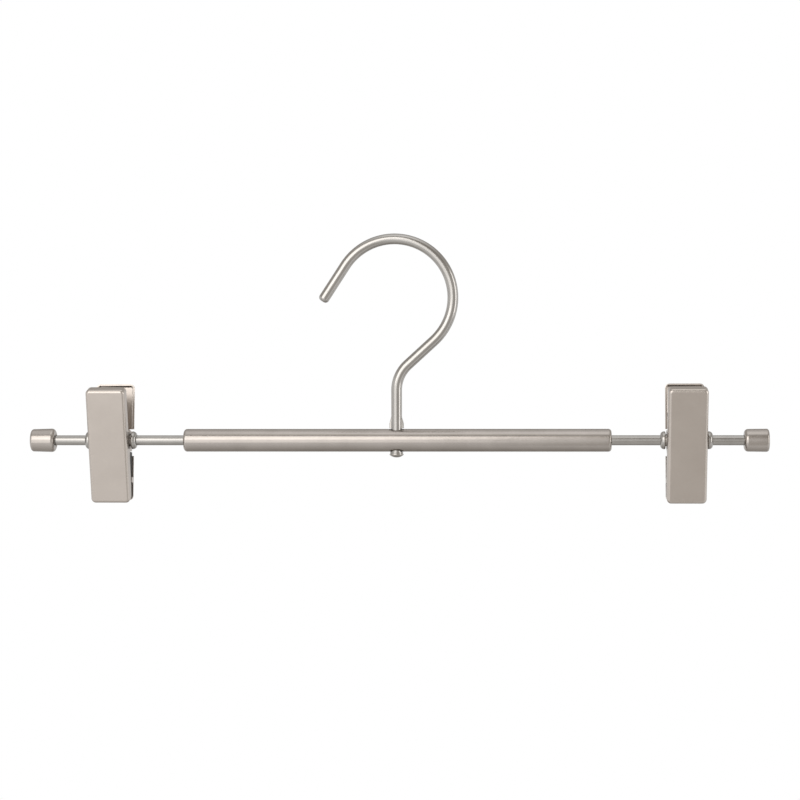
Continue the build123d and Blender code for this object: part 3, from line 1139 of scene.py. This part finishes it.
def add_ear(shape):
    """Folds an ear off the waist and opens its pivot hole."""
    waist_half = ear_half - jaw_bend
    slice_at(shape, band(shape), (0, 0, ear_radius), (0, 0, 1))
    slice_at(shape, band(shape), (0, 0, -ear_radius), (0, 0, 1))
    side_edge = next(
        edge
        for edge in edges_at(shape, 0, waist_half, faces=1)
        if all(abs(v.co.z) < ear_radius + weld for v in edge.verts)
    )
    fold = sorted(pull(shape, [side_edge], (jaw_bend, 0, 0)), key=lambda v: v.co.z)
    ring, ear = ear_face(shape, ear_half)
    shape.faces.new([fold[0]] + ring_part(ring, -pi / 2, pi / 2) + [fold[1]])
    open_pivot(shape, ear)
    round_off(shape, edges_between(fold), jaw_bend, corner_steps)
    bmesh.ops.remove_doubles(shape, verts=shape.verts, dist=weld)


def rear_jaw_skin():
    shape = bmesh.new()
    corners = [(0, -jaw_down), (jaw_half, -jaw_down), (jaw_half, jaw_up), (0, jaw_up)]
    plate = [shape.verts.new((x, jaw_stand_off, z)) for x, z in corners]
    shape.faces.new(plate)
    walls = pull(shape, edges_between(plate), (0, -rear_depth, 0))
    side_walls = [v for v in walls if abs(v.co.x - jaw_half) < weld]
    corner_edges = [edge for v in side_walls for edge in v.link_edges if reach_along(edge, 1) > weld]
    round_off(shape, corner_edges, jaw_corner, press_steps)
    round_off(shape, edges_at(shape, 1, jaw_stand_off), jaw_bend, corner_steps)

    tab_top = tab_height / 2 - tab_drop
    tab_bottom = -tab_height / 2 - tab_drop
    for place in (tab_top, tab_bottom, waist_up, -waist_down):
        slice_at(shape, everything(shape), (0, 0, place), (0, 0, 1))
    tab_edge = next(
        edge
        for edge in edges_at(shape, 0, jaw_half, faces=1)
        if tab_bottom < (edge.verts[0].co.z + edge.verts[1].co.z) / 2 < tab_top
    )
    pull(shape, [tab_edge], (0, rear_depth - tab_depth, 0))

    waist_half = ear_half - jaw_bend
    slice_at(shape, band(shape), (waist_half, 0, 0), (1, 0, 0))
    beyond = [face for face in shape.faces if in_waist(face) and face.calc_center_median().x > waist_half]
    bmesh.ops.delete(shape, geom=beyond, context="FACES")
    add_ear(shape)
    return both_halves(shape, rear_facing)


for side in both_sides:
    dress_sheet(
        side + "_rear_jaw_sheet",
        hang(rear_jaw_skin(), side, rear_facing),
        side + "_clip_back",
        [side + "_rear_jaw"],
    )

# %% [markdown]
# ## The grip pads
# A pad is a moulded wedge that fills the lower half of its jaw up to the line where the two meet, and its
# face is grooved across so that cloth doesn't slip. The side view is drawn once, grooves and all, and
# pushed across the jaw. The lower corners are rounded to clear the jaw's own corners.

# %% Pads
pad_fit = 0.1 * mm
pad_top_drop = 5.5 * mm
pad_face_gap = 0.15 * mm
groove_count = 6
groove_width = 1.2 * mm
groove_depth = 0.7 * mm
groove_margin = 2.4 * mm
pad_rim = 0.22 * mm
pad_back_steps = 4


def pad_outline(facing):
    """The pad's side view as (y, z) points: back, top, the grooved face downwards, bottom."""
    top = -pad_top_drop
    bottom = jaw_sheet + pad_fit - jaw_down
    back = facing * (jaw_stand_off - jaw_sheet)
    along = Matrix.Rotation(facing * jaw_lean, 3, "X")
    points = [(back, bottom), (back, top), (middle_line(top, pad_face_gap, facing), top)]
    first = top - groove_margin
    last = bottom + groove_margin
    for index in range(groove_count):
        height = first + (last - first) * index / (groove_count - 1)
        centre = Vector((0, middle_line(height, pad_face_gap, facing), height))
        for depth, half in ((0, 0.5), (groove_depth, 0.5), (groove_depth, -0.5), (0, -0.5)):
            corner = centre + along @ Vector((0, facing * depth, half * groove_width))
            points.append((corner.y, corner.z))
    points.append((middle_line(bottom, pad_face_gap, facing), bottom))
    return points


def pad_shape(facing):
    shape = bmesh.new()
    half = jaw_half - jaw_sheet - pad_fit
    side_face = shape.faces.new([shape.verts.new((-half, y, z)) for y, z in pad_outline(facing)])
    across = verts_of(bmesh.ops.extrude_face_region(shape, geom=[side_face]))
    bmesh.ops.translate(shape, verts=across, vec=(2 * half, 0, 0))
    bmesh.ops.recalc_face_normals(shape, faces=shape.faces)
    bottom = min(v.co.z for v in shape.verts)
    low_corners = [edge for edge in edges_at(shape, 2, bottom) if reach_along(edge, 1) > weld]
    round_off(shape, low_corners, jaw_corner - jaw_sheet + pad_fit, corner_steps)
    back_edges = edges_at(shape, 1, facing * (jaw_stand_off - jaw_sheet))
    round_off(shape, back_edges, jaw_bend - jaw_sheet + pad_fit, pad_back_steps)
    return shape


for side in both_sides:
    for facing, jaw, body in ((front_facing, "front", "_clip_front"), (rear_facing, "rear", "_clip_back")):
        dress(
            side + "_" + jaw + "_pad_rubber",
            hang(pad_shape(facing), side, facing),
            side + body,
            pad_rubber,
            [side + "_" + jaw + "_pad"],
            rim_bevel=pad_rim,
        )

# %% [markdown]
# ## Sleeves, collars and springs
# The sleeve is a short tube that the ears turn on, and a domed collar pressed on each of its ends keeps
# them there. A collar stands a little off the ear, and that gap is the thin dark line between the two.
#
# The spring is one length of wire: a leg against the rear jaw, six and a half turns round the sleeve, and
# a leg against the front jaw. When the clip is pinched the coil winds up, so the spring can't ride on
# either jaw alone, and it is left on no body.

# %% Sleeves, collars and springs
collar_rim = 0.7 * mm
collar_foot_round = 0.5 * mm
collar_dome_inset = 0.45 * mm
collar_dome_drop = 0.2 * mm
collar_dome_round = 1.0 * mm
collar_tip_radius = 2.95 * mm
collar_tip_round = 0.12 * mm
collar_lip = 0.5 * mm
spring_wire = 0.55 * mm
spring_radius = 4.0 * mm
spring_pitch = 1.6 * mm
spring_turns = 6
spring_leg = 17 * mm
spring_leg_gap = 0.2 * mm
spring_sides = 12
spring_turn_steps = 24
spring_tip_steps = 3
sleeve_round = 0.1 * mm


def sleeve_shape(side):
    start, end, radius = reach(side + "_clip_sleeve")
    inner = rod_radius + sleeve_gap
    ring = [(start, inner), (start, radius), (end, radius), (end, inner)]
    return spun(ring, {1: sleeve_round, 2: sleeve_round}, closed=True)


def collar_shape(side, place):
    start, end, radius = reach(side + "_" + place + "_collar")
    faces_right = (side == "right") == (place == "outer")
    foot, tip, out = (start, end, 1) if faces_right else (end, start, -1)
    seat = tip - out * collar_lip
    ring = [
        (foot, sleeve_radius + press_gap),
        (foot, radius),
        (foot + out * collar_rim, radius),
        (tip - out * collar_dome_inset, radius - collar_dome_drop),
        (tip, collar_tip_radius),
        (tip, rod_radius + sleeve_gap),
        (seat, rod_radius + sleeve_gap),
        (seat, sleeve_radius + press_gap),
    ]
    return spun(ring, {1: collar_foot_round, 3: collar_dome_round, 4: collar_tip_round}, closed=True)


def spring_lean():
    """How far a spring leg leans out for its end to lie by the jaw's plate."""
    away = jaw_stand_off - jaw_sheet - spring_wire - spring_leg_gap
    span = hypot(spring_radius, spring_leg)
    return asin(away / span) - atan2(spring_radius, spring_leg) + jaw_lean


def spring_place(turned, sweep):
    """A point of the coil's middle line and its heading, after an angle turned from the rear leg."""
    slope = spring_pitch / (2 * pi)
    angle = -spring_lean() - turned
    place = Vector((slope * (turned - sweep / 2), spring_radius * cos(angle), spring_radius * sin(angle)))
    heading = Vector((slope, spring_radius * sin(angle), -spring_radius * cos(angle)))
    return place, heading.normalized()


def spring_shape():
    shape = bmesh.new()
    sweep = 2 * pi * spring_turns + pi - 2 * spring_lean()
    start, start_heading = spring_place(0, sweep)
    end, end_heading = spring_place(sweep, sweep)
    first = wire_ring(shape, start - start_heading * spring_leg, start_heading, spring_wire, spring_sides)
    ring = run_on(shape, first, start_heading * spring_leg)
    steps = round(sweep / (2 * pi) * spring_turn_steps)
    ring = bend_on(shape, ring, (0, 0, 0), (1, 0, 0), -sweep, steps, climb=end.x - start.x)
    ring = run_on(shape, ring, end_heading * spring_leg)
    for tip in (first, ring):
        close_end(shape, tip, spring_wire * tip_round_share, spring_tip_steps)
    bmesh.ops.recalc_face_normals(shape, faces=shape.faces)
    return shape, (end.x - start.x) / 2


for side in both_sides:
    slider = side + "_clip_slider"
    sleeve = raise_to_bar(sleeve_shape(side))
    dress(side + "_sleeve_tube", sleeve, slider, sleeve_steel, [side + "_clip_sleeve"])
    for place in ("outer", "inner"):
        name = side + "_" + place + "_collar"
        collar = raise_to_bar(collar_shape(side, place))
        dress(name + "_ring", collar, slider, wire_nickel, [name])
    coil, coil_half = spring_shape()
    coil = hang(coil, side)
    spring = dress(
        side + "_spring_wire", coil, None, spring_steel, [side + "_clip_spring"]
    )
    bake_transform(spring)
